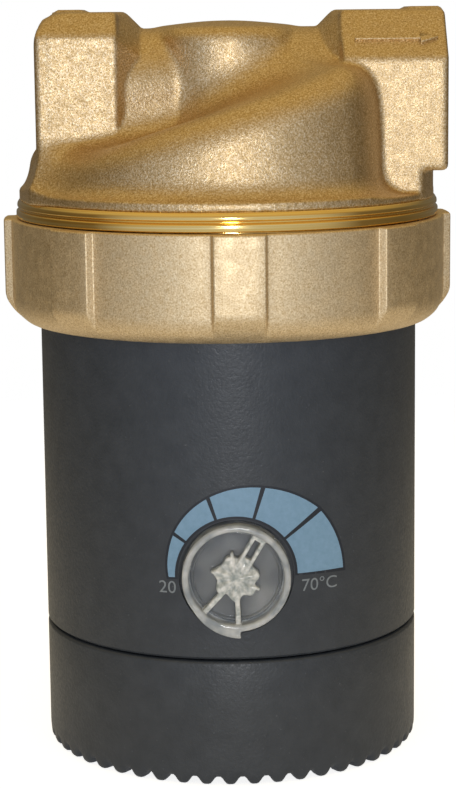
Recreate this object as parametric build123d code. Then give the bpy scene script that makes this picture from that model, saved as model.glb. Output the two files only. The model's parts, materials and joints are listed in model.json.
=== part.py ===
"""Hot-water circulation pump with a spherical motor and a thermostat dial.

Millimetres, +Z up.  The motor axis is Z, the serrated end cap stands on Z = 0, water
enters at -X and leaves at +X, and the thermostat knob faces -Y.  Each node is written
to parts/NODE.step.
"""
import math
import os

from build123d import *

# ---------------------------------------------------------------- driving dimensions
# Heights of the joints between the outer pieces
CAP_TOP = 24.9
HOUSING_BOTTOM = 25.3
RING_BOTTOM = 86.8
RING_LIP_TOP = 89.0
FLANGE_BOTTOM = 89.05
FLANGE_TOP = 91.9
CAN_FLANGE_TOP = 93.1
SPIGOT_BOTTOM = 93.3
RING_TOP = 107.5
RIM_BOTTOM = 107.7
RIM_TOP = 111.2
BLOCK_TOP = 148.0
DOME_TOP = 146.2

# Motor shell
BODY_R = 38.0
WALL = 2.4
FLANGE_R = 41.0
CAP_FLOOR = 2.4
TOOTH_COUNT = 50
TOOTH_HEIGHT = 1.5
TOOTH_WIDTH = 2.6
TOOTH_INNER_R = 34.2
TOOTH_OUTER_R = 37.7
FRONT_TOOTH_DEG = -90.8
SPIGOT_INNER_R = 32.0
CAP_SPIGOT_R = 35.3
CAP_SPIGOT_BOTTOM = 15.0

# Bayonet between end cap and housing
BAYONET_TURN = 20.0
LUG_COUNT = 3
LUG_DEG = 12.0
LUG_INNER_R = 34.3
LUG_Z = (17.4, 19.6)
BAYONET_FLOOR_R = 34.0

# Cap O-ring
CAP_SEAL_R = 34.7
CAP_SEAL_WIRE_R = 0.85
CAP_SEAL_Z = 22.6
CAP_SEAL_GROOVE = (33.8, 21.5, 23.7)

# Union ring
RING_R = 43.5
PAD_R = 45.0
PAD_COUNT = 8
PAD_DEG = 12.2
FRONT_PAD_DEG = -87.2
THREAD_R = 41.2
THREAD_GAP = 0.15
LIP_R = 38.4
PAD_BOTTOM = 91.0

# Water seal between can flange and pump casing
CAN_SEAL_R = 37.5
CAN_SEAL_WIRE_R = 1.3
CAN_SEAL_GROOVE = (36.0, 39.0, 2.6)

# Cast pump casing
RIM_R = 42.4
CAST_FLANGE_R = 41.4
VOLUTE_R = 38.6
PORT_Z = 132.5
PORT_THREAD_R = 9.32
PORT_THREAD_LENGTH = 13.0
PORT_PASSAGE_R = 8.0
INLET_END = -37.0
OUTLET_END = 43.0
INLET_BLOCK = (INLET_END, -21.0, 16.5)
OUTLET_BLOCK = (22.5, OUTLET_END, 18.0)
OUTLET_SLOPE = 9.4
INLET_SLOPE = 4.2
OUTLET_BLOCK_BOTTOM = 117.0
PIPE_R = 12.2
INLET_PAD = (-33.5, -27.7, 7.0)
OUTLET_PAD = (35.6, 42.6, 7.5)
PAD_TOP = 148.6
CHAMBER_R = 14.5
CHAMBER_BORE_R = 11.0
EYE_R = 8.5
RAMP_POINT = (0.0, -30.0, 130.2)
RAMP_NORMAL = (-0.283, 0.17, 1.0)
RAMP_WALL = 4.0
CHANNEL_R = (17.5, 35.4)
ROTOR_WELL_R = 33.0
IMPELLER_CEILING = 105.5

# Spherical separation can, rotor and bearing share one centre
CENTRE_Z = 92.0
CAN_R = 27.0
CAN_WALL = 0.6
ROTOR_R = 25.5
JACKET_WALL = 0.5
ROTOR_BOTTOM = 74.0
ROTOR_TOP = 90.0
BACK_IRON_R = 16.0
HUB_R = 11.0
BALL_R = 3.0
BALL_GAP = 0.03
PIN_R = 2.0
PIN_TOP = 91.0
CUP_R = 5.0
CUP_Z = (91.2, 97.4)
IMPELLER_R = 20.0
HUB_DISC_Z = (94.6, 96.2)
BLADE_TOP = 101.6
SHROUD_TOP = 102.8
NOSE_TOP = 99.0
BLADE_COUNT = 6

# Stator
POLE_COUNT = 6
YOKE_R = (32.4, 35.0)
YOKE_Z = (68.0, 84.0)
POLE_Z = 76.0
POLE_HALF = 4.0
BOBBIN_WALL = 0.8
COIL_HALF = 8.0
COIL_RADIAL = (27.9, 31.2)
POLE_AIR_R = 27.2

# Electronics compartment
LEDGE_Z = (58.0, 60.0)
LEDGE_R = 33.2
CARRIER_Z = (60.0, 62.0)
CARRIER_R = 35.4
BOARD_Z = (49.0, 50.6)
BOARD_R = 33.5
BOARD_FLAT_Y = -29.0
SCREW_CIRCLE_R = 28.5
SCREW_ANGLES = (90.0, 210.0, 330.0)
SCREW_R = 1.2

# Thermostat dial
DIAL_X = 1.0
DIAL_Z = 41.7
KNOB_R = 10.4
TAB_R = 11.8
TAB_START_DEG = 215.0
TAB_END_DEG = 273.0
POCKET_R = 11.05
POCKET_FLOOR_Y = -34.8
KNOB_BACK_Y = -35.1
KNOB_WEB_Y = -37.0
KNOB_FRONT_Y = -40.2
TAB_BACK_Y = -38.4
KNOB_RIM = 1.3
BOSS_R = 12.5
BOSS_INNER_Y = -29.5
SHAFT_R = 3.0
SHAFT_GAP = 0.05
WIPER_R = 2.0
POINTER_DEG = 60.0
RIB_ANGLES = (227.0, 272.0)

# Cable gland at the back
GLAND_Z = 35.6
GLAND_PAD_Y = 38.6
GLAND_PAD_R = 9.6
GLAND_THREAD_R = 6.0
GLAND_HEX_ACROSS = 15.0
GLAND_HEX_Y = (38.6, 40.8)
GLAND_NUT_Y = (40.9, 44.8)
CABLE_R = 3.6


# ---------------------------------------------------------------- shape helpers
def rod(radius, z0, z1, x=0.0, y=0.0):
    """Cylinder along Z between two heights."""
    return Pos(x, y, (z0 + z1) / 2) * Cylinder(radius, z1 - z0)


def tube(r_in, r_out, z0, z1, x=0.0, y=0.0):
    return rod(r_out, z0, z1, x, y) - rod(r_in, z0 - 1, z1 + 1, x, y)


def block(x0, x1, y0, y1, z0, z1):
    return Pos((x0 + x1) / 2, (y0 + y1) / 2, (z0 + z1) / 2) * Box(x1 - x0, y1 - y0, z1 - z0)


def rod_y(radius, y0, y1, x, z):
    """Cylinder along Y between two depths."""
    return Pos(x, (y0 + y1) / 2, z) * Rot(90, 0, 0) * Cylinder(radius, abs(y1 - y0))


def rod_x(radius, x0, x1, z):
    return Pos((x0 + x1) / 2, 0, z) * Rot(0, 90, 0) * Cylinder(radius, abs(x1 - x0))


def turned(*points):
    """Solid of revolution about Z from (radius, height) points."""
    return revolve(Plane.XZ * make_face(Polyline(*points, close=True)), Axis.Z)


def ball(radius, z=CENTRE_Z):
    return Pos(0, 0, z) * Sphere(radius)


def around(count, start, make):
    """The solids made at equal steps about Z, from make(angle in degrees)."""
    return [make(start + 360.0 * k / count) for k in range(count)]


def sector(r_in, r_out, z0, z1, start, sweep):
    """Part of a ring between two angles."""
    wedge = Plane.XY * make_face(
        Polyline(
            (0, 0),
            *[
                (2 * r_out * math.cos(math.radians(start + sweep * k / 4)),
                 2 * r_out * math.sin(math.radians(start + sweep * k / 4)))
                for k in range(5)
            ],
            close=True,
        )
    )
    return tube(r_in, r_out, z0, z1) & (Pos(0, 0, z0) * extrude(wedge, z1 - z0))


def hexagon_y(across_flats, y0, y1, z):
    """Hexagonal prism along Y."""
    sketch = RegularPolygon(across_flats / 2, 6, major_radius=False)
    return Pos(0, y1, z) * Rot(90, 0, 0) * extrude(sketch, y1 - y0)


# ---------------------------------------------------------------- pump casing
def above_ramp(drop=0.0):
    """Half space above the volute's sloping crown, lowered by drop."""
    x, y, z = RAMP_POINT
    plane = Plane(origin=(x, y, z - drop), z_dir=RAMP_NORMAL)
    return plane * (Pos(0, 0, 100) * Box(400, 400, 200))


def port_block(x0, x1, half_y, bottom, slope):
    """Square end of a port with its long top edges sloped off."""
    body = block(x0, x1, -half_y, half_y, bottom, BLOCK_TOP)
    long_top = body.edges().filter_by(Axis.X).sort_by(Axis.Z)[-2:]
    return chamfer(long_top, slope)


def volute_housing():
    volute = turned(
        (0, RIM_TOP - 0.5), (CAST_FLANGE_R, RIM_TOP - 0.5), (CAST_FLANGE_R, RIM_TOP + 1.3),
        (VOLUTE_R, RIM_TOP + 6), (VOLUTE_R, BLOCK_TOP), (0, BLOCK_TOP),
    ) - above_ramp()
    inlet = port_block(*INLET_BLOCK, RIM_TOP, INLET_SLOPE)
    outlet = port_block(*OUTLET_BLOCK, OUTLET_BLOCK_BOTTOM, OUTLET_SLOPE)
    bridge_span = (INLET_BLOCK[1] - 1, OUTLET_BLOCK[0] + 1)
    bridge = rod_x(PIPE_R, *bridge_span, PORT_Z)
    bridge += block(*bridge_span, -PIPE_R, PIPE_R, RIM_TOP, PORT_Z)
    chamber = rod(CHAMBER_R, RIM_TOP, DOME_TOP)
    chamber = fillet(chamber.edges().sort_by(Axis.Z)[-1], 3)
    rim = rod(RIM_R, RIM_BOTTOM, RIM_TOP)
    spigot = rod(THREAD_R, SPIGOT_BOTTOM, RIM_BOTTOM)
    casting = volute + inlet + outlet + bridge + chamber + rim + spigot
    for x0, x1, half_y in (INLET_PAD, OUTLET_PAD):
        casting += block(x0, x1, -half_y, half_y, BLOCK_TOP - 1, PAD_TOP)

    groove_in, groove_out, groove_depth = CAN_SEAL_GROOVE
    casting -= rod(ROTOR_WELL_R, SPIGOT_BOTTOM - 1, IMPELLER_CEILING)
    casting -= tube(groove_in, groove_out, SPIGOT_BOTTOM - 1, SPIGOT_BOTTOM + groove_depth)
    casting -= tube(*CHANNEL_R, IMPELLER_CEILING - 1, BLOCK_TOP) - above_ramp(RAMP_WALL)
    casting -= rod(CHAMBER_BORE_R, IMPELLER_CEILING + 6, DOME_TOP - 4)
    casting -= rod(EYE_R, IMPELLER_CEILING - 1, IMPELLER_CEILING + 7)
    casting -= rod_x(PORT_PASSAGE_R, INLET_END + 1, 0, PORT_Z)
    casting -= rod_x(PORT_PASSAGE_R, CHANNEL_R[0] + 2, OUTLET_END - 1, PORT_Z)
    for end, inward in ((INLET_END, 1), (OUTLET_END, -1)):
        casting -= rod_x(PORT_THREAD_R, end - inward, end + inward * PORT_THREAD_LENGTH, PORT_Z)
    return casting


def can_seal():
    return Pos(0, 0, CAN_FLANGE_TOP + CAN_SEAL_WIRE_R) * Torus(CAN_SEAL_R, CAN_SEAL_WIRE_R)


def union_ring():
    bore_r = THREAD_R + THREAD_GAP
    body = turned(
        (LIP_R, RING_BOTTOM), (40.2, RING_BOTTOM), (42.2, 87.9), (43.2, 89.4), (RING_R, PAD_BOTTOM),
        (RING_R, RING_TOP - 0.8), (RING_R - 0.8, RING_TOP), (bore_r, RING_TOP),
        (bore_r, RING_LIP_TOP), (LIP_R, RING_LIP_TOP),
    )
    pad_band = turned(
        (RING_R - 1.0, PAD_BOTTOM - 0.6), (RING_R, PAD_BOTTOM - 0.6), (PAD_R, PAD_BOTTOM + 0.6),
        (PAD_R, RING_TOP - 0.8), (PAD_R - 0.8, RING_TOP), (RING_R - 1.0, RING_TOP),
    )
    half = PAD_R * math.sin(math.radians(PAD_DEG / 2))
    for angle in range(PAD_COUNT):
        column = Rot(0, 0, FRONT_PAD_DEG + angle * 360 / PAD_COUNT) * block(
            RING_R - 3, PAD_R + 1, -half, half, PAD_BOTTOM - 2, RING_TOP + 1)
        body += pad_band & column
    return body


# ---------------------------------------------------------------- motor shell
def boss_for_dial():
    return rod_y(BOSS_R, BOSS_INNER_Y, -BODY_R, DIAL_X, DIAL_Z) & rod(BODY_R, 0, FLANGE_TOP)


def motor_housing():
    inner_r = BODY_R - WALL
    shell = turned(
        (inner_r, HOUSING_BOTTOM + 2.6), (SPIGOT_INNER_R, HOUSING_BOTTOM + 2.6),
        (SPIGOT_INNER_R, CAP_SPIGOT_BOTTOM), (CAP_SPIGOT_R, CAP_SPIGOT_BOTTOM),
        (CAP_SPIGOT_R, HOUSING_BOTTOM), (BODY_R - 0.5, HOUSING_BOTTOM),
        (BODY_R, HOUSING_BOTTOM + 0.5), (BODY_R, FLANGE_BOTTOM), (FLANGE_R, FLANGE_BOTTOM),
        (FLANGE_R, FLANGE_TOP), (inner_r, FLANGE_TOP),
    )
    shell += tube(LEDGE_R, inner_r + 0.5, *LEDGE_Z)
    shell += boss_for_dial()
    shell += rod_y(GLAND_PAD_R, BODY_R - 4, GLAND_PAD_Y, 0, GLAND_Z) - rod(inner_r, 0, FLANGE_TOP)
    shell -= rod_y(POCKET_R, POCKET_FLOOR_Y, -BODY_R - 5, DIAL_X, DIAL_Z)
    shell -= rod_y(SHAFT_R + SHAFT_GAP, BOSS_INNER_Y + 1, -BODY_R, DIAL_X, DIAL_Z)
    shell -= rod_y(5.2, BOSS_INNER_Y + 1, BOSS_INNER_Y - 3, DIAL_X, DIAL_Z)
    shell -= rod_y(GLAND_THREAD_R + 0.05, BODY_R - 8, GLAND_PAD_Y + 1, 0, GLAND_Z)
    groove_r, groove_low, groove_high = CAP_SEAL_GROOVE
    shell -= tube(groove_r, CAP_SPIGOT_R + 0.1, groove_low, groove_high)
    lug_low, lug_high = LUG_Z
    for lug in range(LUG_COUNT):
        start = lug * 360 / LUG_COUNT - 1
        width = LUG_DEG + 2
        shell -= sector(BAYONET_FLOOR_R, CAP_SPIGOT_R + 0.1, lug_low - 0.2, lug_high + 0.2,
                        start, width + BAYONET_TURN)
        shell -= sector(BAYONET_FLOOR_R, CAP_SPIGOT_R + 0.1, CAP_SPIGOT_BOTTOM - 1,
                        lug_high + 0.2, start + BAYONET_TURN, width)
    return shell


def end_cap():
    inner_r = BODY_R - WALL
    cap = turned(
        (0, TOOTH_HEIGHT), (BODY_R - 0.6, TOOTH_HEIGHT), (BODY_R, TOOTH_HEIGHT + 0.6),
        (BODY_R, CAP_TOP - 0.5), (BODY_R - 0.5, CAP_TOP), (inner_r, CAP_TOP),
        (inner_r, TOOTH_HEIGHT + CAP_FLOOR), (0, TOOTH_HEIGHT + CAP_FLOOR),
    )
    for lug in range(LUG_COUNT):
        cap += sector(LUG_INNER_R, inner_r + 0.4, *LUG_Z, lug * 360 / LUG_COUNT, LUG_DEG)
    tooth = block(TOOTH_INNER_R, TOOTH_OUTER_R, -TOOTH_WIDTH / 2, TOOTH_WIDTH / 2,
                  0, TOOTH_HEIGHT + 0.5)
    tooth = chamfer(tooth.edges().filter_by(Axis.X).sort_by(Axis.Z)[:2], 0.7)
    return cap + around(TOOTH_COUNT, FRONT_TOOTH_DEG, lambda angle: Rot(0, 0, angle) * tooth)


def cap_seal():
    return Pos(0, 0, CAP_SEAL_Z) * Torus(CAP_SEAL_R, CAP_SEAL_WIRE_R)


# ---------------------------------------------------------------- can and bearing
def separation_can():
    bowl = ball(CAN_R) - rod(CAN_R + 1, CENTRE_Z, CENTRE_Z + CAN_R + 1)
    return (bowl + rod(FLANGE_R, FLANGE_TOP, CAN_FLANGE_TOP)
            - ball(CAN_R - CAN_WALL) - rod(CAN_R - CAN_WALL, CENTRE_Z, CAN_FLANGE_TOP + 1))


def bearing_pin():
    inside = ball(CAN_R - CAN_WALL)
    foot = rod(CUP_R, 60, CENTRE_Z - CAN_R + 3.5) & inside
    return foot + (rod(PIN_R, 60, PIN_TOP) & inside)


def bearing_ball():
    return ball(BALL_R) - rod(PIN_R, CENTRE_Z - BALL_R - 1, PIN_TOP)


# ---------------------------------------------------------------- rotor
def rotor_magnet():
    sphere = ball(ROTOR_R - JACKET_WALL) - rod(BACK_IRON_R, 0, 200)
    return sphere & rod(ROTOR_R, ROTOR_BOTTOM, ROTOR_TOP)


def rotor_jacket():
    shell = ball(ROTOR_R) - ball(ROTOR_R - JACKET_WALL)
    return shell & rod(ROTOR_R + 1, ROTOR_BOTTOM, ROTOR_TOP)


def rotor_back_iron():
    return tube(HUB_R, BACK_IRON_R, ROTOR_BOTTOM, ROTOR_TOP)


def bearing_cup():
    cup = rod(CUP_R, *CUP_Z)
    socket_r = BALL_R + BALL_GAP
    return cup - ball(socket_r) - rod(socket_r, CUP_Z[0] - 1, CENTRE_Z)


def impeller_blade(angle):
    """One backward-swept blade between the hub disc and the shroud."""
    outer = Pos(0, 6.0) * Circle(14.0) - Pos(0, 6.0) * Circle(12.8)
    blade = extrude(Plane.XY * outer, BLADE_TOP - HUB_DISC_Z[1])
    blade = Pos(0, 0, HUB_DISC_Z[1]) * blade
    reach = tube(EYE_R + 0.5, IMPELLER_R, HUB_DISC_Z[1], BLADE_TOP) & block(0, 30, -30, 6, 0, 200)
    return Rot(0, 0, angle) * (blade & reach)


def impeller():
    wheel = rod(IMPELLER_R, *HUB_DISC_Z) + rod(HUB_R, ROTOR_BOTTOM, HUB_DISC_Z[0])
    wheel += turned((0, HUB_DISC_Z[1]), (7, HUB_DISC_Z[1]), (6.2, CUP_Z[1]), (3.5, NOSE_TOP),
                    (0, NOSE_TOP))
    wheel += around(BLADE_COUNT, 0, impeller_blade)
    wheel += tube(EYE_R, IMPELLER_R, BLADE_TOP, SHROUD_TOP)
    return wheel - rod(CUP_R, ROTOR_BOTTOM - 1, CUP_Z[1])


# ---------------------------------------------------------------- stator
def box_frame(inner_half, outer_half):
    """Rectangular frame around one pole, its axis along +X."""
    r0, r1 = COIL_RADIAL
    outer = block(r0, r1, -outer_half, outer_half, POLE_Z - outer_half, POLE_Z + outer_half)
    return outer - block(r0 - 1, r1 + 1, -inner_half, inner_half,
                         POLE_Z - inner_half, POLE_Z + inner_half)


def stator_core():
    core = tube(*YOKE_R, *YOKE_Z)
    pole = block(15, YOKE_R[0] + 0.5, -POLE_HALF, POLE_HALF,
                 POLE_Z - POLE_HALF, POLE_Z + POLE_HALF) - ball(POLE_AIR_R)
    return core + around(POLE_COUNT, 0, lambda angle: Rot(0, 0, angle) * pole)


def coil_bobbins():
    frame = box_frame(POLE_HALF, POLE_HALF + BOBBIN_WALL)
    return Compound(children=around(POLE_COUNT, 0, lambda angle: Rot(0, 0, angle) * frame))


def stator_windings():
    coil = box_frame(POLE_HALF + BOBBIN_WALL, COIL_HALF)
    corners = coil.edges().filter_by(Axis.X).filter_by(lambda e: abs(e.center().Y) > COIL_HALF - 0.1)
    coil = fillet(corners, 1.5)
    return Compound(children=around(POLE_COUNT, 0, lambda angle: Rot(0, 0, angle) * coil))


def carrier_plate():
    """Insulating plate between stator and electronics, with its board posts."""
    plate = tube(15.0, CARRIER_R, *CARRIER_Z) + tube(YOKE_R[0], YOKE_R[1], CARRIER_Z[1], YOKE_Z[0])
    for angle in SCREW_ANGLES:
        post = tube(SCREW_R + 0.05, 2.6, BOARD_Z[1], CARRIER_Z[0])
        plate += Rot(0, 0, angle) * Pos(SCREW_CIRCLE_R, 0, 0) * post
    return plate


# ---------------------------------------------------------------- electronics
def control_board():
    board = rod(BOARD_R, *BOARD_Z) & block(-40, 40, BOARD_FLAT_Y, 40, 0, 100)
    for angle in SCREW_ANGLES:
        board -= Rot(0, 0, angle) * Pos(SCREW_CIRCLE_R, 0, 0) * rod(SCREW_R + 0.2, 40, 60)
    return board


def board_screws():
    screw = rod(SCREW_R, BOARD_Z[0], BOARD_Z[1] + 6) + rod(2.4, BOARD_Z[0] - 1.7, BOARD_Z[0])
    screw -= block(-2, 2, -0.3, 0.3, BOARD_Z[0] - 2, BOARD_Z[0] - 1.0)
    return Compound(children=[
        Rot(0, 0, angle) * Pos(SCREW_CIRCLE_R, 0, 0) * screw for angle in SCREW_ANGLES])


def smoothing_capacitors():
    can = fillet(rod(6.2, 31.0, BOARD_Z[0]).edges().sort_by(Axis.Z)[0], 0.8)
    return Compound(children=[Pos(-20, y, 0) * can for y in (-4.0, 10.0)])


def film_capacitor():
    case = block(12, 27, -8, 0, 37, BOARD_Z[0])
    return fillet(case.edges().filter_by(Axis.Z), 0.8)


def terminal_block():
    case = block(-10, 14, 9, 22, 37, BOARD_Z[0])
    for x in (-6.0, 2.0, 10.0):
        case -= rod(2.6, 36, 44, x, 15.5)
        case -= rod_y(2.2, 17, 23, x, 45.5)
    return case


def terminal_screws():
    screw = rod(2.4, 40, 44) - block(-3, 3, -0.35, 0.35, 39, 41)
    return Compound(children=[Pos(x, 15.5, 0) * screw for x in (-6.0, 2.0, 10.0)])


def earth_terminal():
    """Flat blade with its foot on the board."""
    return block(18, 24.3, 9.6, 10.4, 38, BOARD_Z[0]) + block(18, 24.3, 8, 12, 48.2, BOARD_Z[0])


def temperature_sensor():
    """Probe that stands on the board and reaches the bottom of the can."""
    probe = rod(3.2, 56, CENTRE_Z - CAN_R - 0.1) + rod(2.0, BOARD_Z[1], 56)
    return fillet(probe.edges().sort_by(Axis.Z)[-1], 0.6)


# ---------------------------------------------------------------- thermostat
def dial_arm(angle, r0, r1, half_width, y0, y1):
    bar = block(r0, r1, y0, y1, -half_width, half_width)
    return Pos(DIAL_X, 0, DIAL_Z) * Rot(0, -angle, 0) * bar


def thermostat_knob():
    """Cup-shaped knob with a rim, a pointer, two ribs, a hub and a finger tab."""
    knob = rod_y(KNOB_R, KNOB_BACK_Y, KNOB_FRONT_Y, DIAL_X, DIAL_Z)
    knob -= rod_y(KNOB_R - KNOB_RIM, KNOB_WEB_Y, KNOB_FRONT_Y - 1, DIAL_X, DIAL_Z)
    for side in (-1.0, 1.0):
        rib = Pos(DIAL_X, 0, DIAL_Z) * Rot(0, -POINTER_DEG, 0) * block(
            0, KNOB_R - 0.5, KNOB_FRONT_Y + 0.6, KNOB_WEB_Y + 0.3, side - 0.4, side + 0.4)
        knob += rib
    for angle in RIB_ANGLES:
        knob += dial_arm(angle, 0, KNOB_R - 0.5, 0.5, KNOB_FRONT_Y + 0.6, KNOB_WEB_Y + 0.3)
    knob += rod_y(4.1, KNOB_FRONT_Y + 0.4, KNOB_WEB_Y + 0.3, DIAL_X, DIAL_Z)
    steps = 12
    sweep = [TAB_START_DEG + (TAB_END_DEG - TAB_START_DEG) * k / steps for k in range(steps + 1)]
    edge = [(math.cos(math.radians(a)), math.sin(math.radians(a)),
             KNOB_R - 0.3 + (TAB_R - KNOB_R + 0.3) * min(1.0, k / (steps * 0.6)))
            for k, a in enumerate(sweep)]
    inner = [(c * (KNOB_R - 1), s * (KNOB_R - 1)) for c, s, _ in reversed(edge)]
    outline = make_face(Polyline(*[(c * r, s * r) for c, s, r in edge], *inner, close=True))
    tab = extrude(Plane.XZ * outline, TAB_BACK_Y - KNOB_FRONT_Y)
    knob += Pos(DIAL_X, TAB_BACK_Y, DIAL_Z) * tab
    return knob - rod_y(SHAFT_R, KNOB_BACK_Y + 1, KNOB_WEB_Y - 1, DIAL_X, DIAL_Z)


def dial_shaft():
    return (rod_y(SHAFT_R, KNOB_WEB_Y - 1, -29.2, DIAL_X, DIAL_Z)
            + rod_y(WIPER_R, -29.5, -22.0, DIAL_X, DIAL_Z))


def dial_shaft_seal():
    ring = rod_y(5.15, BOSS_INNER_Y - 2.9, BOSS_INNER_Y - 0.7, DIAL_X, DIAL_Z)
    return ring - rod_y(SHAFT_R + 0.1, BOSS_INNER_Y - 4, BOSS_INNER_Y, DIAL_X, DIAL_Z)


def potentiometer():
    case = block(DIAL_X - 5.5, DIAL_X + 5.5, -28.6, -22.6, 36.5, BOARD_Z[0])
    case += rod_y(3.4, -29.1, -28.6, DIAL_X, DIAL_Z)
    return case - rod_y(WIPER_R + SHAFT_GAP, -30, -21, DIAL_X, DIAL_Z)


# ---------------------------------------------------------------- cable gland
def gland_body():
    body = rod_y(GLAND_THREAD_R, 31.0, 43.0, 0, GLAND_Z)
    body += hexagon_y(GLAND_HEX_ACROSS, *GLAND_HEX_Y, GLAND_Z)
    return body - rod_y(4.8, 30, 44, 0, GLAND_Z)


def gland_nut():
    nut = hexagon_y(GLAND_HEX_ACROSS - 1, GLAND_NUT_Y[0], GLAND_NUT_Y[1] - 1, GLAND_Z)
    nut += rod_y(6.6, GLAND_NUT_Y[1] - 1.5, GLAND_NUT_Y[1], 0, GLAND_Z)
    nut -= rod_y(GLAND_THREAD_R + 0.05, GLAND_NUT_Y[0] - 1, 43.1, 0, GLAND_Z)
    return nut - rod_y(4.0, 40, 46, 0, GLAND_Z)


def gland_seal():
    return rod_y(4.75, 34.0, 43.1, 0, GLAND_Z) - rod_y(CABLE_R, 33, 45, 0, GLAND_Z)


NODES = (
    volute_housing, can_seal, union_ring,
    motor_housing, end_cap, cap_seal,
    separation_can, bearing_pin, bearing_ball,
    rotor_magnet, rotor_jacket, rotor_back_iron, bearing_cup, impeller,
    stator_core, coil_bobbins, stator_windings, carrier_plate,
    control_board, board_screws, smoothing_capacitors, film_capacitor,
    terminal_block, terminal_screws, earth_terminal, temperature_sensor,
    thermostat_knob, dial_shaft, dial_shaft_seal, potentiometer,
    gland_body, gland_nut, gland_seal,
)

os.makedirs("parts", exist_ok=True)
for node in NODES:
    export_step(node(), f"parts/{node.__name__}.step")
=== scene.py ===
"""Looks of the hot-water circulation pump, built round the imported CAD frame.

Lengths are written in millimetres and turned into metres where a mesh is made. Only the
floor's and the lamp's are written in metres.
"""
import json
import math

import bpy
import numpy as np
from mathutils import Matrix, Vector


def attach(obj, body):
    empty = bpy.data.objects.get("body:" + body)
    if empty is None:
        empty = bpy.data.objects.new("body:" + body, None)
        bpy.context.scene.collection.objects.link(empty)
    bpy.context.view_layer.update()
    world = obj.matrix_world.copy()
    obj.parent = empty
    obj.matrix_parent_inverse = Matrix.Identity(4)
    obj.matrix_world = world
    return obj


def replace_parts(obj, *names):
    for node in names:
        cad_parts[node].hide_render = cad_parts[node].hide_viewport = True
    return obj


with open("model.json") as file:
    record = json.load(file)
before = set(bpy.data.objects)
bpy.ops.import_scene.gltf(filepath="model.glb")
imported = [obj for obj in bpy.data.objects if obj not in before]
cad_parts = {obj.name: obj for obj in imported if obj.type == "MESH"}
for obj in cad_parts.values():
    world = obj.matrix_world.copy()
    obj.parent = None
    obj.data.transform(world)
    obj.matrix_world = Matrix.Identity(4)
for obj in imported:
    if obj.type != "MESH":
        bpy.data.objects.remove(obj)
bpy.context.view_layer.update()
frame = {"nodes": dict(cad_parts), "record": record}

MM = 0.001
DIAGONAL = math.sqrt(0.5)

# ---------------------------------------------------------------- sizes, in millimetres unless stated
# Pump casing
PORT_Z = 132.5
PIPE_R = 12.2
CHAMBER_R = 14.8
DOME_TOP = 146.1
DOME_SPHERE_R = 70.0
BLOCK_TOP = 148.0
BLOCK_ROOT = 100.0
BLOCK_EDGE_R = 1.0
SLOPE_EDGE_R = 0.8
INLET_X = (-37.0, -21.0)
OUTLET_X = (22.5, 43.0)
INLET_HALF = 16.5
OUTLET_HALF = 18.0
INLET_SLOPE = 4.4
INLET_END_SLOPE = 2.4
OUTLET_SLOPE = 9.3
OUTLET_BOTTOM = 117.0
OUTLET_FOOT_X = 41.0
OUTLET_FOOT_R = 42.0
OUTLET_FOOT_BOTTOM = 105.0
GUSSET = 4.4
GUSSET_INSET = 0.2
GUSSET_END_INSET = 3.0
INLET_PAD = (-33.3, -27.9, 6.8)
OUTLET_PAD = (35.8, 42.4, 7.3)
PAD_TOP = 148.5
CAST_BOTTOM = 111.3
FLANGE_R = 41.5
FLANGE_TOP = 112.6
VOLUTE_R = 38.4
VOLUTE_LOW = 119.5
VOLUTE_HIGH = 137.4
VOLUTE_END_X = 30.5
VOLUTE_DRAFT = 0.10
RAMP_FRONT_Z = 129.9
RAMP_RISE_PER_DEG = 0.175
RAMP_FALL_START_DEG = 95.0
RAMP_FALL_SPAN_DEG = 75.0
PLATE_FRONT_Y = -6.0
RIM_R = 42.4
RIM_Z = (107.7, 111.2)
SPIGOT_R = 41.2
SPIGOT_Z = (93.3, 107.8)
SPIGOT_PITCH = 2.0
WELL_R = 33.0
THREAD_R = (9.32, 10.45)
THREAD_PITCH = 1.814
THREAD_LENGTH = 13.0
PASSAGE_R = 8.0
PASSAGE_INNER_X = (-5.0, 24.0)
FLARE_START = 9.0
FLARE_INSET = 1.2
EYE_R = 8.5
EYE_TOP = 120.0
CHAMBER_BORE_R = 10.5
CHAMBER_BORE_Z = (112.5, 141.5)
ARROW_X = (25.0, 41.3)
ARROW_Z = 142.3
CASTING_BOX = ((-45.0, -45.0, 110.0), (45.0, 45.0, 150.0))
CASTING_STEP = 0.5
FACE_TOLERANCE = 0.15

# Roundings of the casting, by what they join
CROWN_ROUND = 7.0
VOLUTE_END_ROUND = 8.0
DOME_ROUND = 3.0
SPINE_FILLET = 1.2
VOLUTE_FILLET = 9.0
FLANGE_FILLET = 5.0
BLOCK_FILLET = 0.6

# Union ring
RING_R = 43.5
PAD_R = 45.0
RING_Z = (86.8, 107.5)
RING_LIP_TOP = 89.0
LIP_R = 38.4
PAD_COUNT = 8
PAD_HALF_DEG = 6.1
FRONT_PAD_DEG = -87.2

# Motor shell, end cap and dial
BODY_R = 38.0
CAP_TOP = 24.9
CAP_BORE_R = 35.6
TOOTH_HEIGHT = 1.5
TOOTH_COUNT = 50
FRONT_TOOTH_DEG = -90.8
DIAL_X = 1.0
DIAL_Z = 41.7
KNOB_R = 10.4
KNOB_INNER_R = 9.1
KNOB_Y = (-40.2, -35.2)
KNOB_WEB_Y = -37.0
KNOB_REACH = 12.6
KNOB_SAMPLED_Y = (-41.0, -34.4)
KNOB_STEP = 0.18
TAB_R = 11.7
TAB_DEG = (215.0, 273.7)
POINTER_DEG = 60.0
RIB_DEGREES = (227.0, 272.0)
SPUR_DEGREES = (100.0, 164.0, 332.0)
SCALE_INNER_R = 11.75
SCALE_GAPS = (183.0, 145.5, 109.0, 73.0, 37.0, -1.5)
SCALE_OUTER = ((186.0, 12.8), (160.0, 13.7), (110.0, 16.1), (73.0, 17.9), (38.0, 20.1), (-3.0, 20.7))

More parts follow.
